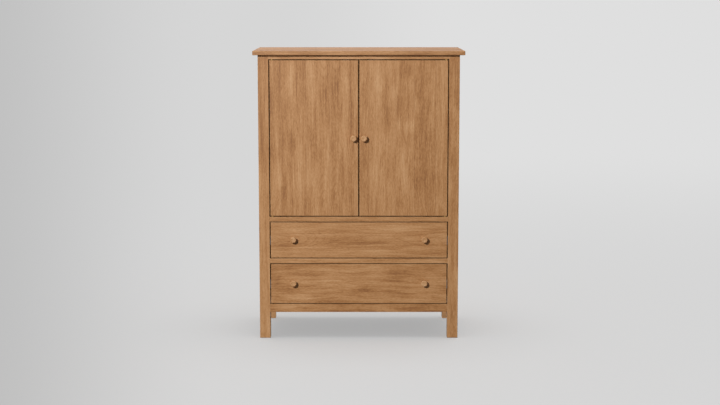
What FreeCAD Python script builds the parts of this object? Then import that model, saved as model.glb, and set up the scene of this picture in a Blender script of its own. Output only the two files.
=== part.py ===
import FreeCAD, Part
import os
import re
import Sketcher
from FreeCAD import Rotation, Vector

# A free-standing television armoire in solid wood: four posts that run down as feet, rails tenoned
# between them, two inset slab doors on concealed pivot hinges, and two inset drawers on telescopic
# slides. Millimetres; +X to the right, +Y to the back, +Z up. The origin is on the floor, at the
# middle of the whole piece.

SIZES = (
    ("overall_height", 1450, "floor to the upper face of the top"),
    ("carcass_width", 1000, "outer face to outer face of the posts"),
    ("carcass_depth", 515, "front face to back face of the posts"),
    ("top_thickness", 21, "top panel"),
    ("top_side_overhang", 24.5, "top panel beyond the posts at each side"),
    ("top_front_overhang", 26, "top panel beyond the posts at the front"),
    ("top_back_overhang", 12, "top panel beyond the posts at the back"),
    ("top_edge_radius", 2.5, "eased edges of the top panel"),
    ("edge_radius", 1.2, "eased edges of every other show board"),
    ("hidden_edge_radius", 0.6, "eased edges of the boards inside"),
    ("post_size", 53, "square posts"),
    ("glide_height", 2, "disc of each foot glide"),
    ("glide_radius", 17, "disc of each foot glide"),
    ("glide_nail_radius", 2, "nail of each foot glide"),
    ("glide_nail_length", 18, "nail of each foot glide, above its disc"),
    ("leg_height", 135, "floor to the underside of the bottom rails"),
    ("bottom_rail_height", 42, "front, side and rear bottom rails"),
    ("lower_opening_height", 208, "opening of the lower drawer"),
    ("drawer_rail_height", 25, "rail between the drawers"),
    ("upper_opening_height", 187, "opening of the upper drawer"),
    ("middle_rail_height", 25, "rail between the upper drawer and the doors"),
    ("top_rail_height", 21, "front and rear top rails"),
    ("flat_rail_depth", 45, "depth of the rails that lie flat"),
    ("upright_rail_thickness", 25, "thickness of the rails that stand upright"),
    ("side_top_rail_height", 60, "top rails of the sides"),
    ("side_rail_inset", 2, "outer face of the posts to that of the side rails"),
    ("rear_middle_rail_height", 60, "rail under the back of the deck"),
    ("tenon_length", 22, "tenons of the front and rear rails"),
    ("tenon_spacing", 6, "between the side tenons in a rear post and those of the upright rear rails"),
    ("tenon_shoulder", 6, "shoulder round every tenon"),
    ("tenon_end_gap", 1, "free space beyond a tenon's end"),
    ("groove_depth", 5.5, "grooves round the side panels"),
    ("panel_edge_gap", 0.5, "free space beyond the edge of a panel in its groove or rabbet"),
    ("side_panel_thickness", 12, "side panels"),
    ("side_panel_inset", 12, "outer face of the posts to that of the side panels"),
    ("back_panel_thickness", 6, "back panels"),
    ("back_rabbet_width", 12, "rabbets of the rear posts for the back panels"),
    ("port_radius", 30, "hole for cables in the upper back panel"),
    ("port_height", 150, "deck to the middle of the hole for cables"),
    ("port_offset", 260, "middle of the back to the middle of the hole for cables"),
    ("grommet_wall", 2.5, "tube of the cable grommet"),
    ("grommet_flange_width", 8, "flange of the cable grommet beyond the hole"),
    ("grommet_flange_thickness", 2, "flange of the cable grommet"),
    ("deck_thickness", 18, "deck under the television"),
    ("deck_gap", 0.5, "free space between the deck and the posts and side panels"),
    ("bearer_height", 45, "bearers of the deck and the slides"),
    ("bearer_thickness", 20, "bearers of the deck and the slides"),
    ("shelf_thickness", 20, "adjustable shelf"),
    ("shelf_height", 540, "deck to the underside of the shelf"),
    ("shelf_gap", 1.5, "free space between the shelf and what is beside it"),
    ("shelf_setback", 9, "back of the doors to the front of the shelf"),
    ("pin_hole_pitch", 32, "between two holes for the shelf pins"),
    ("pin_edge_distance", 12, "inner edge of a post to the row of holes"),
    ("pin_radius", 2.5, "peg of a shelf pin"),
    ("pin_depth", 10, "peg of a shelf pin inside the post"),
    ("pin_reach", 9, "collar of a shelf pin under the shelf"),
    ("pin_collar_radius", 3.5, "collar of a shelf pin"),
    ("reveal_gap", 4.5, "all round the pair of doors, and at the sides of the drawer faces"),
    ("drawer_gap", 3.5, "between a drawer face and the rails above and below it"),
    ("centre_gap", 5.5, "between the two doors"),
    ("front_recess", 1, "front of the posts to that of the doors and drawer faces"),
    ("door_thickness", 20, "doors"),
    ("face_thickness", 20, "drawer faces"),
    ("pivot_inset", 10.5, "outer edge of a door to its pivot axis"),
    ("pivot_setback", 8, "front of a door to its pivot axis"),
    ("leaf_reach", 54, "pivot axis to the square end of a hinge leaf"),
    ("leaf_width", 12, "hinge leaf"),
    ("leaf_thickness", 2.5, "hinge leaf"),
    ("hinge_pin_radius", 2.5, "hinge pin"),
    ("pin_clearance", 0.05, "free space round a hinge pin"),
    ("pin_collar_width", 2.5, "collar of a hinge pin beyond the pin"),
    ("pin_collar_clearance", 0.1, "free space between a hinge pin's collar and the door's leaf"),
    ("pin_relief_radius", 4, "relief in the wood behind a hinge pin"),
    ("pin_relief_depth", 2, "relief in the wood behind a hinge pin"),
    ("hinge_screw_start", 22, "pivot axis to the first screw of a leaf"),
    ("hinge_screw_pitch", 22, "between the two screws of a leaf"),
    ("hinge_screw_length", 16, "screws of the hinge leaves"),
    ("small_screw_radius", 1.5, "screws of the hinges and back panels"),
    ("panel_screw_radius", 2.2, "screws of the top and the deck"),
    ("screw_clearance", 0.05, "free space round a screw"),
    ("panel_screw_length", 34, "screws of the top and the deck"),
    ("top_screw_spread", 330, "middle screw to the outer screws of the top panel"),
    ("deck_screw_spread", 150, "middle of a bearer to its deck screws"),
    ("back_screw_length", 16, "screws of the back panels"),
    ("back_screw_margin", 30, "ends of a back panel's edge to its end screws"),
    ("catch_offset", 62, "middle of the opening to the middle of a catch"),
    ("catch_width", 42, "magnetic catch"),
    ("catch_depth", 15, "magnetic catch"),
    ("catch_height", 20, "magnetic catch"),
    ("magnet_width", 30, "magnet of a catch"),
    ("magnet_depth", 8, "magnet of a catch"),
    ("magnet_height", 8, "magnet of a catch"),
    ("magnet_proud", 0.8, "magnet beyond the front of its catch"),
    ("magnet_gap", 0.3, "free space between a magnet and its strike plate"),
    ("strike_width", 38, "strike plate"),
    ("strike_height", 12, "strike plate"),
    ("strike_thickness", 1.2, "strike plate"),
    ("door_knob_inset", 23.25, "meeting edge of a door to the axis of its knob"),
    ("door_knob_rise", 390.5, "lower edge of a door to the axis of its knob"),
    ("drawer_knob_spread", 658, "between the two knobs of a drawer"),
    ("drawer_knob_lift", 4, "middle of a drawer face to the axis of its knobs"),
    ("knob_radius", 16, "head of a knob"),
    ("knob_projection", 27, "base of a knob to its front"),
    ("knob_base_radius", 9, "foot of a knob"),
    ("knob_base_height", 2.5, "foot of a knob"),
    ("knob_neck_height", 14.5, "foot of a knob to the underside of its head"),
    ("knob_cove_radius", 7.5, "hollow round the neck of a knob"),
    ("knob_rim_radius", 5, "roundness of a knob's rim"),
    ("knob_dish_depth", 1.4, "dished front of a knob"),
    ("knob_screw_radius", 2, "screws that hold the knobs"),
    ("knob_screw_grip", 12, "knob screw inside its knob"),
    ("knob_screw_head_radius", 4.2, "head of a knob screw"),
    ("knob_screw_head_height", 2.6, "head of a knob screw"),
    ("slide_thickness", 12.7, "slide, from the bearer to the side of the drawer"),
    ("slide_height", 45, "slide"),
    ("slide_setback", 3, "back of a drawer face to its slides"),
    ("slide_end_gap", 7, "rear end of the slides to the back of the drawer box"),
    ("slide_sheet", 1.2, "sheet metal of the slides"),
    ("slide_clearance", 0.3, "free space between the members of a slide"),
    ("box_back_gap", 13, "back of a drawer box to the upright rails behind it"),
    ("box_wall", 12, "sides, front and back of a drawer box"),
    ("box_lift", 17, "drawer opening's lower edge to that of the box"),
    ("box_headroom", 30, "drawer opening's upper edge to that of the box"),
    ("box_rabbet", 6, "rabbets at the ends of a drawer side"),
    ("box_bottom_thickness", 6, "bottom of a drawer"),
    ("box_bottom_rise", 10, "lower edge of a drawer box to its bottom"),
    ("box_groove", 6, "grooves for the bottom of a drawer"),
)

LAYOUT = (
    ("front_reach", "max(knob_projection - front_recess; top_front_overhang)", "in front of the posts"),
    ("back_reach", "carcass_depth + top_back_overhang", "from the front of the posts to the back"),
    ("front_y", "(front_reach - back_reach) / 2", "front of the posts"),
    ("back_y", "front_y + carcass_depth", "back of the posts"),
    ("opening_width", "carcass_width - 2 * post_size", "between the posts"),
    ("post_x", "(carcass_width - post_size) / 2", "middle of a post"),
    ("top_z", "overall_height - top_thickness", "underside of the top"),
    ("side_length", "carcass_depth - 2 * post_size", "between a front and a rear post"),
    ("rear_rail_depth", "back_panel_thickness + upright_rail_thickness - tenon_shoulder",
     "back of a rear post to the front of the upright rear rails' tenons"),
    ("side_tenon_length", "post_size - rear_rail_depth - tenon_spacing", "tenons of side rails and bearers"),
    ("side_y", "front_y + post_size", "back of the front posts"),
    ("lower_opening_z", "leg_height + bottom_rail_height", "lower edge of the lower drawer opening"),
    ("drawer_rail_z", "lower_opening_z + lower_opening_height", "underside of the rail between drawers"),
    ("upper_opening_z", "drawer_rail_z + drawer_rail_height", "lower edge of the upper drawer opening"),
    ("middle_rail_z", "upper_opening_z + upper_opening_height", "underside of the middle rail"),
    ("door_opening_z", "middle_rail_z + middle_rail_height", "lower edge of the door opening"),
    ("top_rail_z", "top_z - top_rail_height", "upper edge of the door opening"),
    ("back_panel_y", "back_y - back_panel_thickness", "inner face of the back panels"),
    ("rear_upright_y", "back_panel_y - upright_rail_thickness", "front of the upright rear rails"),
    ("side_rail_x", "(carcass_width - upright_rail_thickness) / 2 - side_rail_inset", "side rails"),
    ("side_panel_x", "(carcass_width - side_panel_thickness) / 2 - side_panel_inset", "side panels"),
    ("side_top_rail_z", "top_z - side_top_rail_height", "underside of the side top rails"),
    ("side_panel_height", "side_top_rail_z - lower_opening_z", "between the side rails"),
    ("deck_z", "door_opening_z - deck_thickness", "underside of the deck"),
    ("deck_y", "front_y + flat_rail_depth", "front of the deck"),
    ("deck_width", "2 * side_panel_x - side_panel_thickness - 2 * deck_gap", "deck"),
    ("rear_middle_rail_z", "deck_z - rear_middle_rail_height", "underside of the rear middle rail"),
    ("back_seam_z", "rear_middle_rail_z + rear_middle_rail_height / 2", "joint of the back panels"),
    ("back_panel_width", "opening_width + 2 * (back_rabbet_width - panel_edge_gap)", "back panels"),
    ("bearer_x", "(opening_width + bearer_thickness) / 2", "middle of a bearer"),
    ("port_z", "door_opening_z + port_height", "middle of the hole for cables"),
    ("door_y", "front_y + front_recess", "front of the doors"),
    ("door_back_y", "door_y + door_thickness", "back of the doors"),
    ("door_z", "door_opening_z + reveal_gap", "lower edge of the doors"),
    ("door_height", "top_rail_z - door_z - reveal_gap", "doors"),
    ("door_width", "(opening_width - centre_gap) / 2 - reveal_gap", "doors"),
    ("door_x", "(centre_gap + door_width) / 2", "middle of a door"),
    ("door_top_z", "door_z + door_height", "upper edge of the doors"),
    ("pivot_x", "opening_width / 2 - reveal_gap - pivot_inset", "pivot axes"),
    ("pivot_y", "door_y + pivot_setback", "pivot axes"),
    ("door_knob_x", "centre_gap / 2 + door_knob_inset", "knobs of the doors"),
    ("door_knob_z", "door_z + door_knob_rise", "knobs of the doors"),
    ("magnet_z", "top_rail_z - catch_height / 2", "middle height of the magnets"),
    ("magnet_y", "door_back_y + strike_thickness + magnet_gap", "front of the magnets"),
    ("catch_y", "magnet_y + magnet_proud", "front of the catches"),
    ("shelf_z", "door_opening_z + shelf_height", "underside of the shelf"),
    ("shelf_y", "door_back_y + shelf_setback", "front of the shelf"),
    ("shelf_pin_z", "shelf_z - pin_collar_radius", "axes of the shelf pins"),
    ("front_pin_y", "side_y - pin_edge_distance", "shelf pins of the front posts"),
    ("rear_pin_y", "back_y - post_size + pin_edge_distance", "shelf pins of the rear posts"),
    ("knob_rim_height", "knob_projection - knob_rim_radius", "base of a knob to its widest circle"),
    ("knob_under_radius", "knob_rim_height - knob_neck_height", "underside of a knob's head"),
    ("face_width", "opening_width - 2 * reveal_gap", "drawer faces"),
    ("face_back_y", "door_y + face_thickness", "back of the drawer faces"),
    ("box_length", "rear_upright_y - box_back_gap - face_back_y", "drawer boxes, front to back"),
    ("box_width", "opening_width - 2 * slide_thickness", "drawer boxes"),
    ("box_side_x", "(box_width - box_wall) / 2", "middle of a drawer side"),
    ("box_inner_width", "box_width - 2 * box_wall", "inside of a drawer box"),
    ("box_trim", "box_lift + box_headroom", "what a drawer box is lower than its opening"),
    ("middle_height", "slide_height - 2 * (slide_sheet + slide_clearance)", "middle member of a slide"),
    ("inner_height", "middle_height - 2 * (slide_sheet + slide_clearance)", "drawer member of a slide"),
    ("slide_x", "opening_width / 2", "face of a bearer, on which a slide is fixed"),
    ("slide_length", "box_length - slide_setback - slide_end_gap", "slides, closed"),
    ("slide_end_y", "face_back_y + slide_setback + slide_length", "rear end of the slides"),
    ("slide_reach", "slide_thickness - slide_sheet - slide_clearance", "flanges of the outer member"),
)

SIDES = (("left", -1), ("right", 1))
PIN_HOLE_STEPS = range(-3, 4)
OUTWARD = {"x": Vector(1, 0, 0), "-x": Vector(-1, 0, 0), "-y": Vector(0, -1, 0), "z": Vector(0, 0, 1)}

doc = FreeCAD.newDocument("TvArmoire")
size_names = {alias for alias, _, _ in SIZES}
layout_names = {alias for alias, _, _ in LAYOUT}
sub_parts = []


# --- sheets and expressions -----------------------------------------------------------------------

def full_names(text, inside_layout=False):
    """An expression with the sheet's name written before each size in it."""
    def with_sheet(word):
        name = word.group()
        if name in size_names:
            return "Sizes." + name
        if name in layout_names and not inside_layout:
            return "Layout." + name
        return name
    return re.sub(r"[a-z_]+", with_sheet, str(text))


def new_sheet(name, rows):
    """A spreadsheet of names, contents and notes, with an alias for each content."""
    sheet = doc.addObject("Spreadsheet::Sheet", name)
    for row, (alias, content, note) in enumerate(rows, start=1):
        sheet.set(f"A{row}", alias)
        sheet.set(f"B{row}", content)
        sheet.setAlias(f"B{row}", alias)
        sheet.set(f"C{row}", note)
    doc.recompute()
    return sheet


sizes = new_sheet("Sizes", [(alias, str(number), note) for alias, number, note in SIZES])
new_sheet("Layout", [(alias, "=" + full_names(text, inside_layout=True), note)
                     for alias, text, note in LAYOUT])


def number(text):
    """The value that an expression has now."""
    return float(sizes.evalExpression(full_names(text)))


def bind(thing, **expressions):
    """Tie properties of an object to expressions."""
    for name, text in expressions.items():
        thing.setExpression(name, full_names(text))


def put(thing, place, rotation=None):
    """Tie an object's position to three expressions, after turning it."""
    if rotation:
        thing.Placement.Rotation = rotation
    for axis, text in zip("xyz", place):
        thing.setExpression(f"Placement.Base.{axis}", full_names(text))
    return thing


# --- shapes ---------------------------------------------------------------------------------------

def block(name, size, place):
    """A box given by its three sizes and by its middle in X, its front and its underside."""
    solid = doc.addObject("Part::Box", name)
    bind(solid, Length=size[0], Width=size[1], Height=size[2])
    return put(solid, (f"({place[0]}) - ({size[0]}) / 2", place[1], place[2]))


def rod(name, radius, length, place=(0, 0, 0), direction="z"):
    """A cylinder that starts at a place and runs in a direction."""
    solid = doc.addObject("Part::Cylinder", name)
    bind(solid, Radius=radius, Height=length)
    return put(solid, place, Rotation(OUTWARD["z"], OUTWARD[direction]))


def group(name, pieces):
    """Several separate solids as one object."""
    compound = doc.addObject("Part::Compound", name)
    compound.Links = pieces
    return compound


def join(name, pieces):
    fused = doc.addObject("Part::MultiFuse", name)
    fused.Shapes = pieces
    return fused


def carve(name, base, tools):
    """A piece less its joints and holes."""
    remainder = doc.addObject("Part::Cut", name)
    remainder.Base = base
    remainder.Tool = tools[0] if len(tools) == 1 else group(name + "_tools", tools)
    return remainder


def copy_at(name, master, place, rotation=None):
    """A further copy of a finished piece."""
    link = doc.addObject("App::Link", name)
    link.LinkedObject = master
    return put(link, place, rotation)


def sub_part(name, thing):
    """Give a piece its name and list it for export."""
    thing.Label = name
    sub_parts.append(thing)
    return thing


def edges_along(shape, axes):
    """The names of the straight edges that run along the given axes."""
    names = []
    for index, edge in enumerate(shape.Edges, start=1):
        direction = edge.tangentAt(edge.FirstParameter)
        if any(abs(getattr(direction, axis)) > 0.99 for axis in axes):
            names.append(f"Edge{index}")
    return names


def outline(body, plane, corners):
    """A closed sketch on one of a body's own planes.

    Each corner is (x, y), reached by a straight line, or (x, y, radius, turn), reached by an arc
    whose centre lies to the left of the way (turn 1) or to the right of it (turn -1).
    """
    sketch = body.newObject("Sketcher::SketchObject", body.Name + "_outline")
    sketch.AttachmentSupport = [(item, "") for item in body.Origin.OriginFeatures if item.Role == plane]
    sketch.MapMode = "FlatFace"
    points = [Vector(number(corner[0]), number(corner[1]), 0) for corner in corners]
    ends = []
    for index, corner in enumerate(corners):
        start = points[index - 1]
        stop = points[index]
        if len(corner) == 2:
            sketch.addGeometry(Part.LineSegment(start, stop))
            ends.append((1, 2))
            continue
        radius, turn = number(corner[2]), corner[3]
        chord = stop - start
        sagitta = radius - (radius ** 2 - chord.Length ** 2 / 4) ** 0.5
        bulge = Vector(chord.y, -chord.x, 0).normalize() * sagitta * turn
        sketch.addGeometry(Part.Arc(start, (start + stop) / 2 + bulge, stop))
        ends.append((1, 2) if turn == 1 else (2, 1))
    for index, corner in enumerate(corners):
        following = (index + 1) % len(corners)
        sketch.addConstraint(Sketcher.Constraint("Coincident", index, ends[index][1],
                                                 following, ends[following][0]))
    for index, corner in enumerate(corners):
        for kind, text, value in (("DistanceX", corner[0], points[index].x),
                                  ("DistanceY", corner[1], points[index].y)):
            place = sketch.addConstraint(Sketcher.Constraint(kind, index, ends[index][1], value))
            sketch.setExpression(f"Constraints[{place}]", full_names(text))
        if len(corner) > 2:
            place = sketch.addConstraint(Sketcher.Constraint("Radius", index, number(corner[2])))
            sketch.setExpression(f"Constraints[{place}]", full_names(corner[2]))
    return sketch


def padded(name, plane, corners, length, eased=None, axes="xyz"):
    """A body extruded from an outline, with the edges along some axes eased."""
    body = doc.addObject("PartDesign::Body", name)
    pad = body.newObject("PartDesign::Pad", name + "_pad")
    pad.Profile = outline(body, plane, corners)
    bind(pad, Length=length)
    doc.recompute()
    if eased:
        ease = body.newObject("PartDesign::Fillet", name + "_ease")
        ease.Base = (pad, edges_along(pad.Shape, axes))
        bind(ease, Radius=eased)
    return body


def turned(name, corners):
    """A body revolved about the Y axis of its outline."""
    body = doc.addObject("PartDesign::Body", name)
    sketch = outline(body, "XY_Plane", corners)
    lathe = body.newObject("PartDesign::Revolution", name + "_lathe")
    lathe.Profile = sketch
    lathe.ReferenceAxis = (sketch, ["V_Axis"])
    lathe.Angle = 360
    return body


def board(name, size, place, eased="edge_radius", axes="xyz"):
    """A rectangular board, given as block() is."""
    width, depth, height = size
    left, right = f"-({width}) / 2", f"({width}) / 2"
    corners = ((left, 0), (right, 0), (right, depth), (left, depth))
    return put(padded(name, "XY_Plane", corners, height, eased, axes), place)


def countersunk(name, radius, length, clearance="0"):
    """A screw with its head's flat face at the origin and its shank up the Z axis."""
    shank_radius = f"{radius} + {clearance}"
    head = doc.addObject("Part::Cone", name + "_head")
    bind(head, Radius1=f"2 * {radius} + {clearance}", Radius2=shank_radius, Height=radius)
    return join(name, [head, rod(name + "_shank", shank_radius, f"{length} + {clearance}")])


# --- joinery --------------------------------------------------------------------------------------

post_cuts = {(row, side): [] for row in ("front", "rear") for side, _ in SIDES}


def tenoned(name, size, place, ends, eased="edge_radius"):
    """A rail or bearer with a tenon at each end, and the mortises in the two posts that hold it."""
    across = ends[0][0] == ends[1][0]
    axis = 0 if across else 1
    tenon = "tenon_length" if across else "side_tenon_length"

    def bar(suffix, extra):
        bar_size = [f"{length} - 2 * tenon_shoulder" for length in size]
        bar_size[axis] = f"{size[axis]} + 2 * ({extra})"
        bar_place = [place[0], f"{place[1]} + tenon_shoulder", f"{place[2]} + tenon_shoulder"]
        if not across:
            bar_place[1] = f"{place[1]} - ({extra})"
        return block(f"{name}_{suffix}", bar_size, bar_place)

    for post in ends:
        post_cuts[post].append(bar("mortise_" + "_".join(post), tenon + " + tenon_end_gap"))
    body = board(name + "_board", size, place, eased, "xyz"[axis])
    return join(name + "_bar", [body, bar("tenons", tenon)])


FRONT_POSTS = (("front", "left"), ("front", "right"))
REAR_POSTS = (("rear", "left"), ("rear", "right"))


# --- hardware masters -----------------------------------------------------------------------------

small_screw = countersunk("hinge_screw_master", "small_screw_radius", "hinge_screw_length")
small_bore = countersunk("hinge_screw_bore", "small_screw_radius", "hinge_screw_length", "screw_clearance")
panel_screw = countersunk("panel_screw_master", "panel_screw_radius", "panel_screw_length")
panel_bore = countersunk("panel_screw_bore", "panel_screw_radius", "panel_screw_length", "screw_clearance")
back_screw = countersunk("back_screw_master", "small_screw_radius", "back_screw_length")
back_bore = countersunk("back_screw_bore", "small_screw_radius", "back_screw_length", "screw_clearance")


def leaf_screws(name, master):
    """The two screws of a hinge leaf, or their holes."""
    stations = ("hinge_screw_start", "hinge_screw_start + hinge_screw_pitch")
    return group(name, [copy_at(f"{name}_{index}", master, (station, 0, 0))
                        for index, station in enumerate(stations)])


# A pivot hinge is drawn with its axis up the Z axis, its outer face at Z = 0 and the wood above it.
# The leaf runs from its round end, at the axis, towards +X.
leaf_blank = join("leaf_blank", [
    block("leaf_bar", ("leaf_reach", "leaf_width", "leaf_thickness"),
          ("leaf_reach / 2", "-leaf_width / 2", 0)),
    rod("leaf_round_end", "leaf_width / 2", "leaf_thickness"),
])
leaf_screw_pair = leaf_screws("leaf_screw_pair", small_screw)
leaf_bore_pair = leaf_screws("leaf_bore_pair", small_bore)
leaf_master = carve("leaf_master", leaf_blank, [
    rod("leaf_pin_hole", "hinge_pin_radius + pin_clearance", "leaf_thickness"),
    leaf_bore_pair,
])
leaf_seat = join("leaf_seat", [
    leaf_blank,
    rod("leaf_pin_relief", "pin_relief_radius", "leaf_thickness + pin_relief_depth"),
    leaf_bore_pair,
])
hinge_pin = join("hinge_pin_master", [
    rod("hinge_pin_shank", "hinge_pin_radius", "reveal_gap + 2 * leaf_thickness",
        (0, 0, "-reveal_gap - leaf_thickness")),
    rod("hinge_pin_collar", "hinge_pin_radius + pin_collar_width", "reveal_gap - pin_collar_clearance",
        (0, 0, "pin_collar_clearance - reveal_gap")),
])


def at_pivot(name, master, side, height, wood_above):
    """A hinge piece on a door's axis, with the wood that holds it above or below."""
    turn = Rotation(OUTWARD["z"], 0 if side == -1 else 180)
    if not wood_above:
        turn = turn * Rotation(OUTWARD["x"], 180)
    return copy_at(name, master, (f"{side} * pivot_x", "pivot_y", height), turn)


FRAME_HINGES = [(f"{side_name}_{end}", side, height, wood_above)
                for side_name, side in SIDES
                for end, height, wood_above in (("upper", "top_rail_z", True),
                                                ("lower", "door_opening_z", False))]


def frame_hinge_copies(prefix, master, ends=("upper", "lower")):
    return [at_pivot(f"{prefix}_{label}", master, side, height, wood_above)
            for label, side, height, wood_above in FRAME_HINGES if label.endswith(ends)]


# --- rails and bearers ----------------------------------------------------------------------------

def front_rail(name, depth, height, z, cuts=()):
    rail = tenoned("front_" + name, ("opening_width", depth, height), (0, "front_y", z), FRONT_POSTS)
    return sub_part("front_" + name, carve("front_" + name, rail, list(cuts)) if cuts else rail)


def screw_row(prefix, master, y):
    """Three copies of a screw that points up through a flat top rail, or of its hole."""
    return [copy_at(f"{prefix}_{step + 1}", master, (f"{step} * top_screw_spread", y, "top_rail_z"))
            for step in (-1, 0, 1)]


front_screw_y = "front_y + flat_rail_depth / 2"
rear_screw_y = "back_panel_y - flat_rail_depth / 2"

front_rail("top_rail", "flat_rail_depth", "top_rail_height", "top_rail_z",
           frame_hinge_copies("top_rail_seat", leaf_seat, ("upper",))
           + screw_row("front_top_bore", panel_bore, front_screw_y))
front_rail("middle_rail", "flat_rail_depth", "middle_rail_height", "middle_rail_z",
           frame_hinge_copies("middle_rail_seat", leaf_seat, ("lower",)))
front_rail("drawer_rail", "flat_rail_depth", "drawer_rail_height", "drawer_rail_z")
front_rail("bottom_rail", "upright_rail_thickness", "bottom_rail_height", "leg_height")


def back_screw_places():
    """The places of the screws of both back panels, on their outer faces."""
    rabbet_x = "opening_width / 2 + back_rabbet_width / 2"
    edge_x = "opening_width / 2 - back_screw_margin"
    rows = (("leg_height + bottom_rail_height / 2", "back_seam_z - rear_middle_rail_height / 4", 3),
            ("back_seam_z + rear_middle_rail_height / 4", "top_z - top_rail_height / 2", 4))
    for bottom, top, count in rows:
        for z in (bottom, top):
            for step in (-1, 0, 1):
                yield f"{step} * ({edge_x})", z
        for _, side in SIDES:
            for index in range(count):
                share = f"{index} / {count - 1}"
                run = f"{top} - ({bottom}) - 2 * back_screw_margin"
                yield f"{side} * ({rabbet_x})", f"{bottom} + back_screw_margin + {share} * ({run})"


def back_screw_copies(prefix, master):
    turn = Rotation(OUTWARD["z"], OUTWARD["-y"])
    return [copy_at(f"{prefix}_{index}", master, (x, "back_y", z), turn)
            for index, (x, z) in enumerate(back_screw_places())]


all_back_bores = group("all_back_bores", back_screw_copies("back_bore_place", back_bore))

rear_top = tenoned("rear_top_rail", ("opening_width", "flat_rail_depth", "top_rail_height"),
                   (0, "back_panel_y - flat_rail_depth", "top_rail_z"), REAR_POSTS)
sub_part("rear_top_rail",
         carve("rear_top_rail", rear_top,
               screw_row("rear_top_bore", panel_bore, rear_screw_y) + [all_back_bores]))
for name, height, z in (("rear_middle_rail", "rear_middle_rail_height", "rear_middle_rail_z"),
                        ("rear_bottom_rail", "bottom_rail_height", "leg_height")):
    rail = tenoned(name, ("opening_width", "upright_rail_thickness", height), (0, "rear_upright_y", z),
                   REAR_POSTS)
    sub_part(name, carve(name, rail, [all_back_bores]))

DRAWERS = (("upper", "upper_opening_z", "upper_opening_height"),
           ("lower", "lower_opening_z", "lower_opening_height"))


def slide_axis_z(opening_z, opening_height):
    """The middle height of a drawer's box, at which its slides run."""
    return f"{opening_z} + box_lift + ({opening_height} - box_trim) / 2"


bearers = []
side_panels = []
side_rails = {"top": [], "bottom": []}
for side_name, side in SIDES:
    posts = (("front", side_name), ("rear", side_name))
    bearer_heights = [(drawer, f"{slide_axis_z(opening_z, opening_height)} - bearer_height / 2")
                      for drawer, opening_z, opening_height in DRAWERS]
    for label, z in bearer_heights + [("deck", "deck_z - bearer_height")]:
        bearers.append(tenoned(f"{side_name}_{label}_bearer",
                               ("bearer_thickness", "side_length", "bearer_height"),
                               (f"{side} * bearer_x", "side_y", z), posts, "hidden_edge_radius"))

    # The side panel and the groove for it in its two posts and two rails.
    panel_x = f"{side} * side_panel_x"
    groove = block(f"{side_name}_panel_groove",
                   ("side_panel_thickness", "side_length + 2 * groove_depth",
                    "side_panel_height + 2 * groove_depth"),
                   (panel_x, "side_y - groove_depth", "lower_opening_z - groove_depth"))
    tongue = "groove_depth - panel_edge_gap"
    side_panels.append(block(f"{side_name}_side_panel",
                             ("side_panel_thickness", f"side_length + 2 * ({tongue})",
                              f"side_panel_height + 2 * ({tongue})"),
                             (panel_x, f"side_y - ({tongue})", f"lower_opening_z - ({tongue})")))
    for label, height, z in (("top", "side_top_rail_height", "side_top_rail_z"),
                             ("bottom", "bottom_rail_height", "leg_height")):
        rail = tenoned(f"{side_name}_{label}_rail", ("upright_rail_thickness", "side_length", height),
                       (f"{side} * side_rail_x", "side_y", z), posts)
        side_rails[label].append(carve(f"{side_name}_{label}_rail_grooved", rail, [groove]))
    for post in posts:
        post_cuts[post].append(groove)

sub_part("side_panels", group("side_panels", side_panels))
sub_part("side_top_rails", group("side_top_rails", side_rails["top"]))
sub_part("side_bottom_rails", group("side_bottom_rails", side_rails["bottom"]))


def deck_screw_copies(prefix, master):
    """The screws down through the deck into the upper bearers, or their holes."""
    places = [(f"{side} * bearer_x", f"side_y + side_length / 2 + {step} * deck_screw_spread",
               "door_opening_z") for _, side in SIDES for step in (-1, 1)]
    return [copy_at(f"{prefix}_{index}", master, place, Rotation(OUTWARD["x"], 180))
            for index, place in enumerate(places)]


deck_bores = group("deck_bores", deck_screw_copies("deck_bore", panel_bore))
sub_part("side_bearers", carve("side_bearers", group("side_bearer_bars", bearers), [deck_bores]))

# --- posts, glides and shelf pins -----------------------------------------------------------------

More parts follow.
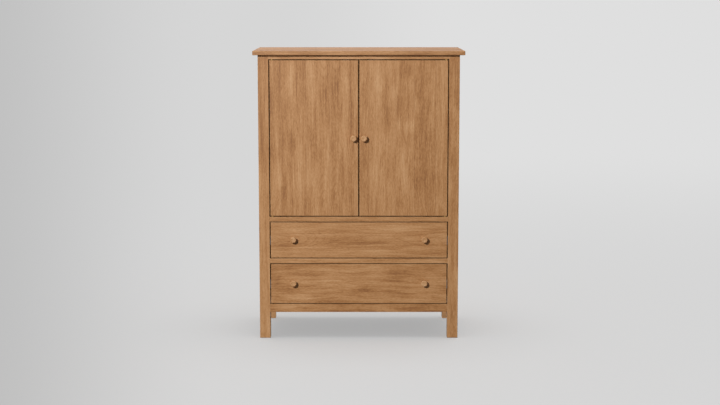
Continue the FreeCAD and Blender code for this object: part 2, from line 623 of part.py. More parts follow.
rabbet = block("back_panel_rabbet",
               ("opening_width + 2 * back_rabbet_width", "back_panel_thickness", "top_z - leg_height"),
               (0, "back_panel_y", "leg_height"))
glide_master = turned("glide_master", (
    (0, 0), ("glide_radius", 0), ("glide_radius", "glide_height"), ("glide_nail_radius", "glide_height"),
    ("glide_nail_radius", "glide_height + glide_nail_length"),
    (0, "glide_height + glide_nail_length"),
))
upright = Rotation(OUTWARD["x"], 90)
glides = []
shelf_pins = []
posts_of = {"front": [], "rear": []}
for row, post_y, pin_y in (("front", "front_y", "front_pin_y"),
                           ("rear", "back_y - post_size", "rear_pin_y")):
    for side_name, side in SIDES:
        name = f"{row}_{side_name}_post"
        glide_place = (f"{side} * post_x", f"{post_y} + post_size / 2", 0)
        glides.append(copy_at(name + "_glide", glide_master, glide_place, upright))
        inner_face = f"{side} * opening_width / 2"
        outward = "-x" if side == -1 else "x"
        holes = [rod(f"{name}_pin_hole_{step + 3}", "pin_radius + pin_clearance",
                     "pin_depth + tenon_end_gap",
                     (inner_face, pin_y, f"shelf_pin_z + {step} * pin_hole_pitch"), outward)
                 for step in PIN_HOLE_STEPS]
        nail_hole = rod(name + "_nail_hole", "glide_nail_radius + screw_clearance",
                        "glide_height + glide_nail_length + tenon_end_gap", glide_place)
        cuts = holes + [nail_hole] + post_cuts[(row, side_name)]
        if row == "rear":
            cuts += [rabbet, all_back_bores]
        blank = board(name + "_blank", ("post_size", "post_size", "top_z - glide_height"),
                      (f"{side} * post_x", post_y, "glide_height"))
        posts_of[row].append(carve(name, blank, cuts))
        peg = rod(name + "_peg", "pin_radius", "pin_depth", (inner_face, pin_y, "shelf_pin_z"), outward)
        collar = rod(name + "_collar", "pin_collar_radius", "pin_reach",
                     (f"{side} * (opening_width / 2 - pin_reach)", pin_y, "shelf_pin_z"), outward)
        shelf_pins.append(join(name + "_shelf_pin", [peg, collar]))
for post, (side_name, _) in zip(posts_of["front"], SIDES):
    sub_part(f"front_{side_name}_post", post)
sub_part("rear_posts", group("rear_posts", posts_of["rear"]))
sub_part("foot_glides", group("foot_glides", glides))
sub_part("shelf_pins", group("shelf_pins", shelf_pins))

# --- top, deck, shelf and back --------------------------------------------------------------------

top_blank = board("top_panel_blank",
                  ("carcass_width + 2 * top_side_overhang",
                   "carcass_depth + top_front_overhang + top_back_overhang", "top_thickness"),
                  (0, "front_y - top_front_overhang", "top_z"), "top_edge_radius")
sub_part("top_panel", carve("top_panel", top_blank,
                            screw_row("top_front_bore", panel_bore, front_screw_y)
                            + screw_row("top_rear_bore", panel_bore, rear_screw_y)))
sub_part("panel_screws",
         group("panel_screws", screw_row("front_top_screw", panel_screw, front_screw_y)
               + screw_row("rear_top_screw", panel_screw, rear_screw_y)
               + deck_screw_copies("deck_screw", panel_screw)))

deck_blank = board("deck_blank", ("deck_width", "back_panel_y - deck_y", "deck_thickness"),
                   (0, "deck_y", "deck_z"), "hidden_edge_radius", "x")
notches = [block(f"deck_notch_{row}_{side_name}",
                 ("post_size + 2 * deck_gap", "post_size + 2 * deck_gap", "overall_height"),
                 (f"{side} * post_x", f"{post_y} - deck_gap", 0))
           for row, post_y in (("front", "front_y"), ("rear", "back_y - post_size"))
           for side_name, side in SIDES]
sub_part("tv_deck", carve("tv_deck", deck_blank, notches + [deck_bores]))

sub_part("adjustable_shelf",
         board("adjustable_shelf", ("opening_width - 2 * shelf_gap", "back_panel_y - shelf_gap - shelf_y",
                                    "shelf_thickness"), (0, "shelf_y", "shelf_z")))

port_hole = rod("port_hole", "port_radius", "back_panel_thickness",
                ("port_offset", "back_y", "port_z"), "-y")
for name, bottom, top, tools in (
        ("upper_back_panel", "back_seam_z + panel_edge_gap", "top_z - panel_edge_gap", [port_hole]),
        ("lower_back_panel", "leg_height", "back_seam_z", [])):
    sheet = block(name + "_sheet", ("back_panel_width", "back_panel_thickness", f"{top} - ({bottom})"),
                  (0, "back_panel_y", bottom))
    sub_part(name, carve(name, sheet, tools + [all_back_bores]))
sub_part("back_panel_screws",
         group("back_panel_screws", back_screw_copies("back_panel_screw", back_screw)))

# The grommet is turned about Y, with its flange behind the back panel.
grommet = turned("cable_grommet", (
    ("port_radius - grommet_wall", "-back_panel_thickness"),
    ("port_radius", "-back_panel_thickness"),
    ("port_radius", 0),
    ("port_radius + grommet_flange_width", 0),
    ("port_radius + grommet_flange_width", "grommet_flange_thickness"),
    ("port_radius - grommet_wall", "grommet_flange_thickness"),
))
sub_part("cable_grommet", put(grommet, ("port_offset", "back_y", "port_z")))

# --- hinges and catches on the carcass ------------------------------------------------------------

sub_part("hinge_frame_leaves", group("hinge_frame_leaves", frame_hinge_copies("frame_leaf", leaf_master)))
sub_part("hinge_pins", group("hinge_pins", frame_hinge_copies("pin", hinge_pin)))
sub_part("hinge_frame_screws",
         group("hinge_frame_screws", frame_hinge_copies("frame_leaf_screws", leaf_screw_pair)))

catch_bodies = []
catch_magnets = []
for side_name, side in SIDES:
    catch_x = f"{side} * catch_offset"
    magnet = block(side_name + "_catch_magnet", ("magnet_width", "magnet_depth", "magnet_height"),
                   (catch_x, "magnet_y", "magnet_z - magnet_height / 2"))
    housing = board(side_name + "_catch_housing", ("catch_width", "catch_depth", "catch_height"),
                    (catch_x, "catch_y", "top_rail_z - catch_height"), "edge_radius", "z")
    catch_magnets.append(magnet)
    catch_bodies.append(carve(side_name + "_catch_body", housing, [magnet]))
sub_part("catch_bodies", group("catch_bodies", catch_bodies))
sub_part("catch_magnets", group("catch_magnets", catch_magnets))

# --- knobs and their screws -----------------------------------------------------------------------

knob_master = turned("knob_master", (
    ("knob_screw_radius + screw_clearance", 0),
    ("knob_base_radius", 0),
    ("knob_base_radius", "knob_base_height"),
    ("knob_radius - knob_under_radius", "knob_neck_height", "knob_cove_radius", -1),
    ("knob_radius", "knob_rim_height", "knob_under_radius", 1),
    ("knob_radius - knob_rim_radius", "knob_projection", "knob_rim_radius", 1),
    (0, "knob_projection - knob_dish_depth"),
    (0, "knob_screw_grip + tenon_end_gap"),
    ("knob_screw_radius + screw_clearance", "knob_screw_grip + tenon_end_gap"),
))
forward = Rotation(OUTWARD["z"], 180)


def knob_screw_master(name, thickness):
    """A screw up the Y axis that holds a knob from behind a panel, its tip inside the knob."""
    return turned(name, (
        (0, f"-({thickness}) - knob_screw_head_height"),
        ("knob_screw_head_radius", f"-({thickness}) - knob_screw_head_height"),
        ("knob_screw_head_radius", f"-({thickness})"),
        ("knob_screw_radius", f"-({thickness})"),
        ("knob_screw_radius", "knob_screw_grip"),
        (0, "knob_screw_grip"),
    ))


def knob_holes(prefix, places, thickness):
    """The holes for the knob screws through a panel of some thickness."""
    return [rod(f"{prefix}_knob_hole_{index}", "knob_screw_radius + screw_clearance", thickness,
                (x, f"door_y + {thickness}", z), "-y") for index, (x, z) in enumerate(places)]


def knobs_and_screws(prefix, places, screw):
    """The knobs of a door or drawer and their screws, each as one sub-part."""
    plural = "s" if len(places) > 1 else ""
    for label, master in (("knob", knob_master), ("knob_screw", screw)):
        copies = [copy_at(f"{prefix}_{label}_{index}", master, (x, "door_y", z), forward)
                  for index, (x, z) in enumerate(places)]
        sub_part(f"{prefix}_{label}{plural}", group(f"{prefix}_{label}{plural}", copies))


# --- doors ----------------------------------------------------------------------------------------

door_screw = knob_screw_master("door_knob_screw_master", "door_thickness")


def door(side_name, side):
    prefix = side_name + "_door"
    knob_places = [(f"{side} * door_knob_x", "door_knob_z")]
    ends = (("upper", "door_top_z", False), ("lower", "door_z", True))

    def hinge_copies(label, master):
        return [at_pivot(f"{prefix}_{label}_{end}", master, side, height, wood_above)
                for end, height, wood_above in ends]

    blank = board(prefix + "_blank", ("door_width", "door_thickness", "door_height"),
                  (f"{side} * door_x", "door_y", "door_z"))
    sub_part(prefix + "_panel", carve(prefix + "_panel", blank, hinge_copies("seat", leaf_seat)
                                      + knob_holes(prefix, knob_places, "door_thickness")))
    sub_part(prefix + "_hinge_leaves", group(prefix + "_hinge_leaves", hinge_copies("leaf", leaf_master)))
    sub_part(prefix + "_hinge_screws",
             group(prefix + "_hinge_screws", hinge_copies("leaf_screws", leaf_screw_pair)))
    sub_part(prefix + "_strike_plate",
             board(prefix + "_strike_plate", ("strike_width", "strike_thickness", "strike_height"),
                   (f"{side} * catch_offset", "door_back_y", "magnet_z - strike_height / 2"),
                   "edge_radius", "y"))
    knobs_and_screws(prefix, knob_places, door_screw)


for side_name, side in SIDES:
    door(side_name, side)

# --- drawers --------------------------------------------------------------------------------------

drawer_screw = knob_screw_master("drawer_knob_screw_master", "face_thickness + box_wall")


def channel(name, outer_x, web_first, height, depth, side, z):
    """A U-shaped slide member that opens sideways, given by the X of its web's outer face."""
    inward = -side * web_first
    web, lip = f"{inward} * slide_sheet", f"{inward} * ({depth})"
    top, inside = f"({height}) / 2", f"({height}) / 2 - slide_sheet"
    corners = ((0, f"-({top})"), (lip, f"-({top})"), (lip, f"-({inside})"), (web, f"-({inside})"),
               (web, inside), (lip, inside), (lip, top), (0, top))
    body = padded(name, "XZ_Plane", corners, "slide_length")
    return put(body, (f"{side} * ({outer_x})", "slide_end_y", z))


def slide_pair(name, outer_x, web_first, height, depth, z):
    """One member of both slides of a drawer."""
    return [channel(f"{name}_{side_name}", outer_x, web_first, height, depth, side, z)
            for side_name, side in SIDES]


def drawer(name, opening_z, opening_height):
    prefix = name + "_drawer"
    face_z = f"{opening_z} + drawer_gap"
    face_height = f"{opening_height} - 2 * drawer_gap"
    box_z = f"{opening_z} + box_lift"
    box_height = f"{opening_height} - box_trim"
    knob_z = f"{face_z} + ({face_height}) / 2 + drawer_knob_lift"
    knob_places = [(f"{side} * drawer_knob_spread / 2", knob_z) for _, side in SIDES]
    thickness = "face_thickness + box_wall"
    knob_bores = group(prefix + "_knob_bores", knob_holes(prefix, knob_places, thickness))
    end_length = "box_inner_width + 2 * box_rabbet"
    back_wall_y = "face_back_y + box_length - box_wall"

    bottom_size = ("box_inner_width + 2 * box_groove", "box_length - 2 * box_wall + 2 * box_groove",
                   "box_bottom_thickness")
    bottom = block(prefix + "_bottom", bottom_size,
                   (0, "face_back_y + box_wall - box_groove", f"{box_z} + box_bottom_rise"))
    front_end = block(prefix + "_front_end", (end_length, "box_wall", box_height), (0, "face_back_y", box_z))
    back_end = block(prefix + "_back_end", (end_length, "box_wall", box_height), (0, back_wall_y, box_z))

    face = board(prefix + "_face_blank", ("face_width", "face_thickness", face_height),
                 (0, "door_y", face_z))
    sub_part(prefix + "_face", carve(prefix + "_face", face, [knob_bores]))
    sub_part(prefix + "_box_front", carve(prefix + "_box_front", front_end, [knob_bores, bottom]))
    sub_part(prefix + "_box_back", carve(prefix + "_box_back", back_end, [bottom]))
    sub_part(prefix + "_bottom", bottom)
    walls = []
    for side_name, side in SIDES:
        wall = board(f"{prefix}_{side_name}_wall", ("box_wall", "box_length", box_height),
                     (f"{side} * box_side_x", "face_back_y", box_z), "hidden_edge_radius", "y")
        walls.append(carve(f"{prefix}_{side_name}_side", wall, [front_end, back_end, bottom]))
    sub_part(prefix + "_sides", group(prefix + "_sides", walls))
    knobs_and_screws(prefix, knob_places, drawer_screw)

    # The cabinet member lies on the bearer and the drawer member on the side of the box. The flanges
    # of each member run inside those of the one before it.
    slide_z = slide_axis_z(opening_z, opening_height)
    cabinet_members.extend(slide_pair(name + "_cabinet_member", "slide_x", 1, "slide_height",
                                      "slide_reach", slide_z))
    sub_part(name + "_slide_middle_members",
             group(name + "_slide_middle_members",
                   slide_pair(name + "_middle_member", "slide_x - slide_sheet - slide_clearance", 1,
                              "middle_height", "slide_reach - slide_sheet - slide_clearance", slide_z)))
    sub_part(name + "_slide_drawer_members",
             group(name + "_slide_drawer_members",
                   slide_pair(name + "_drawer_member", "slide_x - slide_thickness", -1, "inner_height",
                              "slide_thickness - 2 * (slide_sheet + slide_clearance)", slide_z)))


cabinet_members = []
for name, opening_z, opening_height in DRAWERS:
    drawer(name, opening_z, opening_height)
sub_part("slide_cabinet_members", group("slide_cabinet_members", cabinet_members))

# --- check and export -----------------------------------------------------------------------------

doc.recompute()
for thing in doc.Objects:
    faults = {"Invalid", "Error"}.intersection(thing.State)
    if faults:
        raise RuntimeError(f"{thing.Name}: {faults}")
for thing in sub_parts:
    if thing.Shape.isNull() or not thing.Shape.isValid():
        raise RuntimeError(f"{thing.Label} has no valid shape")

os.makedirs("parts", exist_ok=True)
for thing in sub_parts:
    thing.Shape.exportStep(f"parts/{thing.Label}.step")
    box = thing.Shape.BoundBox
    print(f"{thing.Label:32s} {len(thing.Shape.Solids):3d} solids {thing.Shape.Volume / 1000:9.1f} cm3"
          f"  X {box.XMin:8.1f} {box.XMax:8.1f}  Y {box.YMin:8.1f} {box.YMax:8.1f}"
          f"  Z {box.ZMin:8.1f} {box.ZMax:8.1f}")
print(len(sub_parts), "sub-parts")
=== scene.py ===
import math

import bpy
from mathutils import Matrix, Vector


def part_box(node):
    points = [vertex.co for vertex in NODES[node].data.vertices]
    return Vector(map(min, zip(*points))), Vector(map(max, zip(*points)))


# The armoire's solids stay as they are packed: each gets a finish, and a plain studio stands round them.
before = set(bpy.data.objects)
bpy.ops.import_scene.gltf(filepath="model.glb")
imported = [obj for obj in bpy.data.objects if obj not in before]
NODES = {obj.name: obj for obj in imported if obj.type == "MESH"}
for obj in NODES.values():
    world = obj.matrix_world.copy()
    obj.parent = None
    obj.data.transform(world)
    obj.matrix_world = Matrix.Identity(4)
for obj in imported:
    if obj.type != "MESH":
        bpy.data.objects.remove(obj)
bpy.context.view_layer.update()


def linear(red, green, blue):
    """An sRGB colour, given from 0 to 255, as the linear colour that shaders take."""
    def channel(value):
        share = value / 255
        return share / 12.92 if share <= 0.04045 else ((share + 0.055) / 1.055) ** 2.4
    return channel(red), channel(green), channel(blue), 1.0


# --- shader graphs --------------------------------------------------------------------------------

# A Mix node's sockets for each kind of data: its first value, its second value and its result.
MIX_SOCKETS = {"FLOAT": (2, 3, 0), "RGBA": (6, 7, 2)}
# A noise's mean, and how far it commonly strays from it.
NOISE_MEAN = 0.5
NOISE_SWING = 0.25


class Graph:
    """A node tree that is built by calls: each takes numbers or sockets and returns a socket."""

    def __init__(self, owner):
        owner.use_nodes = True
        self.tree = owner.node_tree
        self.tree.nodes.clear()

    def node(self, kind, inputs, **settings):
        """A new node; inputs go by the name or number of their socket, and settings by name."""
        node = self.tree.nodes.new("ShaderNode" + kind)
        for name, value in settings.items():
            setattr(node, name, value)
        for key, value in inputs.items():
            if isinstance(value, bpy.types.NodeSocket):
                self.tree.links.new(value, node.inputs[key])
            else:
                node.inputs[key].default_value = value
        return node

    def add(self, kind, inputs, output=0, **settings):
        """One output of a new node."""
        return self.node(kind, inputs, **settings).outputs[output]

    def math(self, operation, *values, clamp=False):
        return self.add("Math", dict(enumerate(values)), operation=operation, use_clamp=clamp)

    def plus(self, first, second, clamp=False):
        return self.math("ADD", first, second, clamp=clamp)

    def minus(self, first, second, clamp=False):
        return self.math("SUBTRACT", first, second, clamp=clamp)

    def times(self, first, second):
        return self.math("MULTIPLY", first, second)

    def divided(self, first, second):
        return self.math("DIVIDE", first, second)

    def swing(self, value, amount, mean=NOISE_MEAN):
        """How far a value lies from its mean, times an amount."""
        return self.times(self.minus(value, mean), amount)

    def hypotenuse(self, first, second):
        squares = self.plus(self.times(first, first), self.times(second, second))
        return self.math("SQRT", squares)

    def vector_math(self, operation, *values, output=0):
        return self.add("VectorMath", dict(enumerate(values)), output, operation=operation)

    def combine(self, x, y, z):
        return self.add("CombineXYZ", {0: x, 1: y, 2: z})

    def separate(self, vector):
        return dict(zip("xyz", self.node("SeparateXYZ", {0: vector}).outputs))

    def place(self, coordinates="Object"):
        return self.add("TexCoord", {}, coordinates)

    def mix(self, share, first, second, kind="RGBA"):
        """The first value where share is 0 and the second where it is 1."""
        first_socket, second_socket, result = MIX_SOCKETS[kind]
        inputs = {0: share, first_socket: first, second_socket: second}
        return self.add("Mix", inputs, result, data_type=kind)

    def remap(self, value, low, high, new_low=0.0, new_high=1.0, smooth=False):
        """A value from low to high as one from new_low to new_high, held at both ends."""
        inputs = dict(enumerate((value, low, high, new_low, new_high)))
        return self.add("MapRange", inputs, interpolation_type="SMOOTHSTEP" if smooth else "LINEAR")

    def noise(self, vector, waves, octaves=2.0, roughness=0.5, output=0):
        """Noise from 0 to 1, with so many waves per metre: one number, or one for each axis."""
        stretch = waves if isinstance(waves, tuple) else (waves, waves, waves)
        scaled = self.vector_math("MULTIPLY", vector, stretch)
        inputs = {"Vector": scaled, "Scale": 1.0, "Detail": octaves, "Roughness": roughness}
        return self.add("TexNoise", inputs, output)

    def ramp(self, value, stops, interpolation="LINEAR"):
        """A colour ramp; the stops are (place, colour), or (place, grey)."""
        node = self.node("ValToRGB", {0: value})
        colours = node.color_ramp
        colours.interpolation = interpolation
        for index, (place, colour) in enumerate(stops):
            stop = colours.elements[index] if index < 2 else colours.elements.new(place)
            stop.position = place
            stop.color = colour if isinstance(colour, tuple) else (colour, colour, colour, 1.0)
        return node.outputs["Color"]

    def bump(self, height, distance, strength):
        return self.add("Bump", {"Height": height, "Distance": distance, "Strength": strength})

    def surface(self, **inputs):
        """The material's principled shader, with its inputs given as words joined by _."""
        named = {name.replace("_", " ").replace("Ior", "IOR"): value for name, value in inputs.items()}
        shader = self.add("BsdfPrincipled", named)
        self.node("OutputMaterial", {"Surface": shader})


def new_material(name):
    material = bpy.data.materials.new(name)
    return material, Graph(material)


# How like its rounded self a surface's normal is on a flat face and on an edge.
FLAT_LIKENESS, EDGE_LIKENESS = 0.995, 0.86
# The share of open space round a point on an open face and deep in a gap.
OPEN_FACE, DEEP_GAP = 0.92, 0.45


def rounded_edge_mask(graph, radius):
    """1 on rounded edges and corners, 0 on flat faces."""
    rounded = graph.add("Bevel", {"Radius": radius}, samples=6)
    straight = graph.add("NewGeometry", {}, "Normal")
    likeness = graph.vector_math("DOT_PRODUCT", rounded, straight, output="Value")
    return graph.remap(likeness, FLAT_LIKENESS, EDGE_LIKENESS, smooth=True)


def painted_shade_mask(graph, reach):
    """1 in gaps and under overhangs, where shade falls and is painted in, 0 on open faces."""
    openness = graph.add("AmbientOcclusion", {"Distance": reach}, "AO", samples=8)
    return graph.remap(openness, OPEN_FACE, DEEP_GAP, smooth=True)


# --- wood -----------------------------------------------------------------------------------------

# Each wood's colours from its darkest tone, 0, to its palest, 1, the share that it shows of the full
# figure, and its roughness.
WOODS = {
    "oak": {
        "colours": (
            (0.0, linear(124, 75, 33)), (0.3, linear(164, 112, 61)), (0.5, linear(184, 133, 83)),
            (0.72, linear(198, 149, 101)), (1.0, linear(215, 171, 125)),
        ),
        "figure": 1.0,
        "roughness": 0.54,
    },
    "birch": {
        "colours": (
            (0.0, linear(186, 150, 104)), (0.5, linear(219, 188, 143)), (1.0, linear(236, 212, 174)),
        ),
        "figure": 0.6,
        "roughness": 0.5,
    },
    "plywood": {
        "colours": (
            (0.0, linear(140, 98, 62)), (0.5, linear(181, 139, 99)), (1.0, linear(205, 168, 128)),
        ),
        "figure": 0.8,
        "roughness": 0.58,
    },
}
PORE_COLOUR = linear(96, 60, 36)
# A painted highlight, laid on rounded edges as if they caught the light.
PAINTED_HIGHLIGHT_COLOUR = linear(224, 182, 138)
# Painted shade, laid in gaps and under overhangs.
PAINTED_SHADE_COLOUR = linear(52, 32, 20)

# The noises of the figure, from broad to fine: waves per metre across the grain and along it, octaves
# and roughness.
FIGURE = {
    "lean": (0.6, 0.7, 1.0, 0.5),
    "bend": (2.4, 1.3, 2.0, 0.5),
    "drift": (3.0, 1.0, 2.0, 0.5),
    "mottle": (13.0, 6.0, 3.0, 0.55),
    "ripple": (26.0, 4.0, 2.0, 0.5),
    "bands": (34.0, 2.6, 2.0, 0.72),
    "streaks": (150.0, 8.0, 3.0, 0.6),
    "flecks": (330.0, 70.0, 2.0, 0.6),
    "pores": (620.0, 34.0, 1.0, 0.5),
    "fibres": (800.0, 22.0, 2.0, 0.6),
}
# How strongly five of them move the wood's tone, and the two broad ones, which calm holds back.
TONE_SHARES = {"bands": 0.80, "streaks": 0.72, "flecks": 0.68, "fibres": 0.25, "mottle": 0.55}
BROAD_NOISES = ("bands", "mottle")
# The noise's levels at which a pore begins and is full.
PORE_LEVELS = (0.66, 0.78)

# Growth rings, in metres: the heart lies HEART_DEPTH off the piece's middle and leans back across it by
# up to HEART_LEAN, and the rings wander by RING_DRIFT and ripple by RING_RIPPLE.
RING_SPACING = 0.0055
HEART_DEPTH = 0.10
HEART_LEAN = 0.30
RING_DRIFT = 0.045
RING_RIPPLE = 0.005
# A year's tones, from its dark late wood to its pale early wood, and their mean.
RING_TONES = ((0.0, 0.5), (0.07, 0.0), (0.3, 0.62), (0.8, 0.72), (1.0, 0.5))
RING_MEAN = 0.6
RING_SHARE = 0.20
# The mottle's levels between which the rings grow stronger, and the rings' strength at each.
RING_PATCHES = (0.35, 0.65, 0.25, 1.0)

# Glued boards: how uneven their widths are, the range of their tones, and in metres the range of their
# hearts' places, the length of log that they are cut from and the width of a glue line.
BOARD_UNEVENNESS = 0.45
BOARD_TONES = 0.16
HEART_SHIFTS = 0.07
LOG_LENGTH = 9.0
SEAM_WIDTH = 0.0005

# How far apart pieces with neighbouring seeds lie, in metres: their rows of boards, and their places in
# the log.
SEED_BOARDS = 0.37
SEED_ACROSS = 0.61
SEED_THROUGH = 0.29
SEED_ALONG = 1.73

# The share of each colour that lies over the wood's own, the reach of the painted edge highlight and of
# the painted shade in gaps and the depth of the relief in metres, and what each layer adds to the relief
# and the roughness.
PORE_COVER = 0.35
SEAM_COVER = 0.4
PAINTED_HIGHLIGHT_COVER = 0.42
PAINTED_SHADE_COVER = 0.5
PAINTED_HIGHLIGHT_RADIUS = 0.0026
PAINTED_SHADE_REACH = 0.007
RELIEF_DEPTH = 0.00022
RELIEF_STRENGTH = 0.7
FIBRE_RELIEF = 0.6
PORE_RELIEF = 0.7
RING_RELIEF = 0.25
STREAK_ROUGHNESS = 0.22
PORE_ROUGHNESS = 0.2

# Streaks and clouds that stand out on the front, and painted shade and light on the front posts: x and z
# of each middle, half its width and height, all in metres, and how much paler (+) or darker (-) it is.
MARKS = {
    "left_door_panel": (
        (-0.338, 1.310, 0.018, 0.120, +0.19), (-0.298, 0.890, 0.030, 0.240, +0.19),
        (-0.233, 1.290, 0.025, 0.110, +0.12), (-0.075, 1.240, 0.025, 0.160, +0.20),
        (-0.340, 1.010, 0.032, 0.050, -0.15), (-0.408, 1.010, 0.009, 0.070, +0.16),
        (-0.393, 0.830, 0.027, 0.070, +0.12), (-0.039, 1.120, 0.017, 0.070, -0.09),
        (-0.147, 0.830, 0.027, 0.120, +0.08), (-0.057, 0.830, 0.017, 0.160, +0.11),
    ),
    "right_door_panel": (
        (0.090, 1.270, 0.027, 0.140, +0.23), (0.109, 0.890, 0.022, 0.240, +0.12),
        (0.223, 1.350, 0.037, 0.040, -0.14), (0.171, 1.240, 0.017, 0.040, +0.16),
        (0.223, 1.180, 0.035, 0.070, -0.09), (0.145, 1.110, 0.025, 0.060, -0.11),
        (0.201, 1.090, 0.011, 0.030, +0.23), (0.260, 1.080, 0.025, 0.030, +0.20),
        (0.365, 1.240, 0.030, 0.170, +0.19), (0.293, 1.160, 0.014, 0.060, +0.16),
        (0.316, 0.790, 0.065, 0.070, -0.06), (0.410, 1.020, 0.030, 0.300, +0.10),
        (0.223, 0.880, 0.016, 0.080, +0.16), (0.377, 0.950, 0.022, 0.050, +0.04),
        (0.396, 0.690, 0.025, 0.060, +0.12),
    ),
    # Painted shade at the tops of the front posts and painted light at the foot of the left one, evening
    # out how the lamps fall on them.
    "front_left_post": (
        (-0.470, 1.350, 0.200, 0.450, -0.10), (-0.470, 0.100, 0.200, 0.400, +0.08),
    ),
    "front_right_post": (
        (0.470, 1.350, 0.200, 0.450, -0.08),
    ),
    "upper_drawer_face": (
        (-0.388, 0.486, 0.066, 0.023, -0.11), (-0.330, 0.559, 0.090, 0.013, +0.14),
        (-0.034, 0.493, 0.250, 0.012, -0.09), (0.204, 0.563, 0.130, 0.013, +0.12),
        (0.302, 0.533, 0.100, 0.010, -0.09), (-0.232, 0.467, 0.100, 0.010, +0.09),
        (0.064, 0.450, 0.200, 0.010, +0.08),
    ),
    "lower_drawer_face": (
        (0.182, 0.321, 0.069, 0.040, -0.17), (-0.232, 0.329, 0.230, 0.008, -0.11),
        (-0.059, 0.264, 0.070, 0.015, +0.19), (-0.322, 0.210, 0.074, 0.013, +0.16),
        (-0.380, 0.255, 0.070, 0.013, -0.11), (0.064, 0.226, 0.150, 0.012, +0.11),
        (-0.002, 0.371, 0.041, 0.012, -0.09), (0.327, 0.235, 0.070, 0.017, +0.09),
    ),
}
# How many waves per metre the marks' outlines wander with.
STRAY_WAVES = 14.0
# A mark is at its strongest up to the first share of its half size, and gone at the second.
MARK_FADE = (0.2, 1.6)


def figure(graph, grain, name):
    """One of the figure's noises, drawn out along the grain."""
    across, along, octaves, roughness = FIGURE[name]
    return graph.noise(grain, (across, across, along), octaves, roughness)


def log_place(graph, across, through, along, seed):
    """Where a point of a piece lies in the log that it is cut from."""
    return graph.combine(graph.plus(across, seed * SEED_ACROSS),
                         graph.plus(through, seed * SEED_THROUGH), along)


def glued_boards(graph, across, seed, board_width):
    """A panel's boards: the distance from a board's middle, its glue lines, and three shares of chance."""
    line = {"W": graph.divided(graph.plus(across, seed * SEED_BOARDS), board_width),
            "Scale": 1.0, "Randomness": BOARD_UNEVENNESS}
    board = graph.node("TexVoronoi", line, voronoi_dimensions="1D", feature="F1")
    chance = graph.separate(board.outputs["Color"])
    edge = graph.add("TexVoronoi", line, "Distance", voronoi_dimensions="1D", feature="DISTANCE_TO_EDGE")
    seam = graph.remap(edge, 0.0, SEAM_WIDTH / board_width, 1.0, 0.0)
    from_middle = graph.times(graph.minus(line["W"], board.outputs["W"]), board_width)
    return from_middle, seam, chance


def growth_rings(graph, grain, across, through):
    """Rings round a heart that runs beside the piece's middle and leans along the board."""
    lean = graph.times(figure(graph, grain, "lean"), HEART_LEAN)
    depth = graph.plus(through, graph.minus(lean, HEART_DEPTH))
    reach = graph.hypotenuse(across, depth)
    reach = graph.plus(reach, graph.times(figure(graph, grain, "drift"), RING_DRIFT))
    reach = graph.plus(reach, graph.times(figure(graph, grain, "ripple"), RING_RIPPLE))
    season = graph.math("FRACT", graph.divided(reach, RING_SPACING))
    return graph.ramp(season, RING_TONES, "EASE")


def marked(graph, marks):
    """The sum of a piece's marks, each with a soft and wandering outline."""
    position = graph.place()
    stray = graph.vector_math("SUBTRACT", graph.noise(position, STRAY_WAVES, output="Color"),
                              (NOISE_MEAN, NOISE_MEAN, NOISE_MEAN))
    total = 0.0
    for x, z, half_width, half_height, change in marks:
        offset = graph.vector_math("SUBTRACT", position, (x, 0.0, z))
        reach = graph.vector_math("MULTIPLY", offset, (1 / half_width, 0.0, 1 / half_height))
        reach = graph.vector_math("LENGTH", graph.vector_math("ADD", reach, stray), output="Value")
        total = graph.plus(total, graph.remap(reach, *MARK_FADE, change, 0.0, smooth=True))
    return total


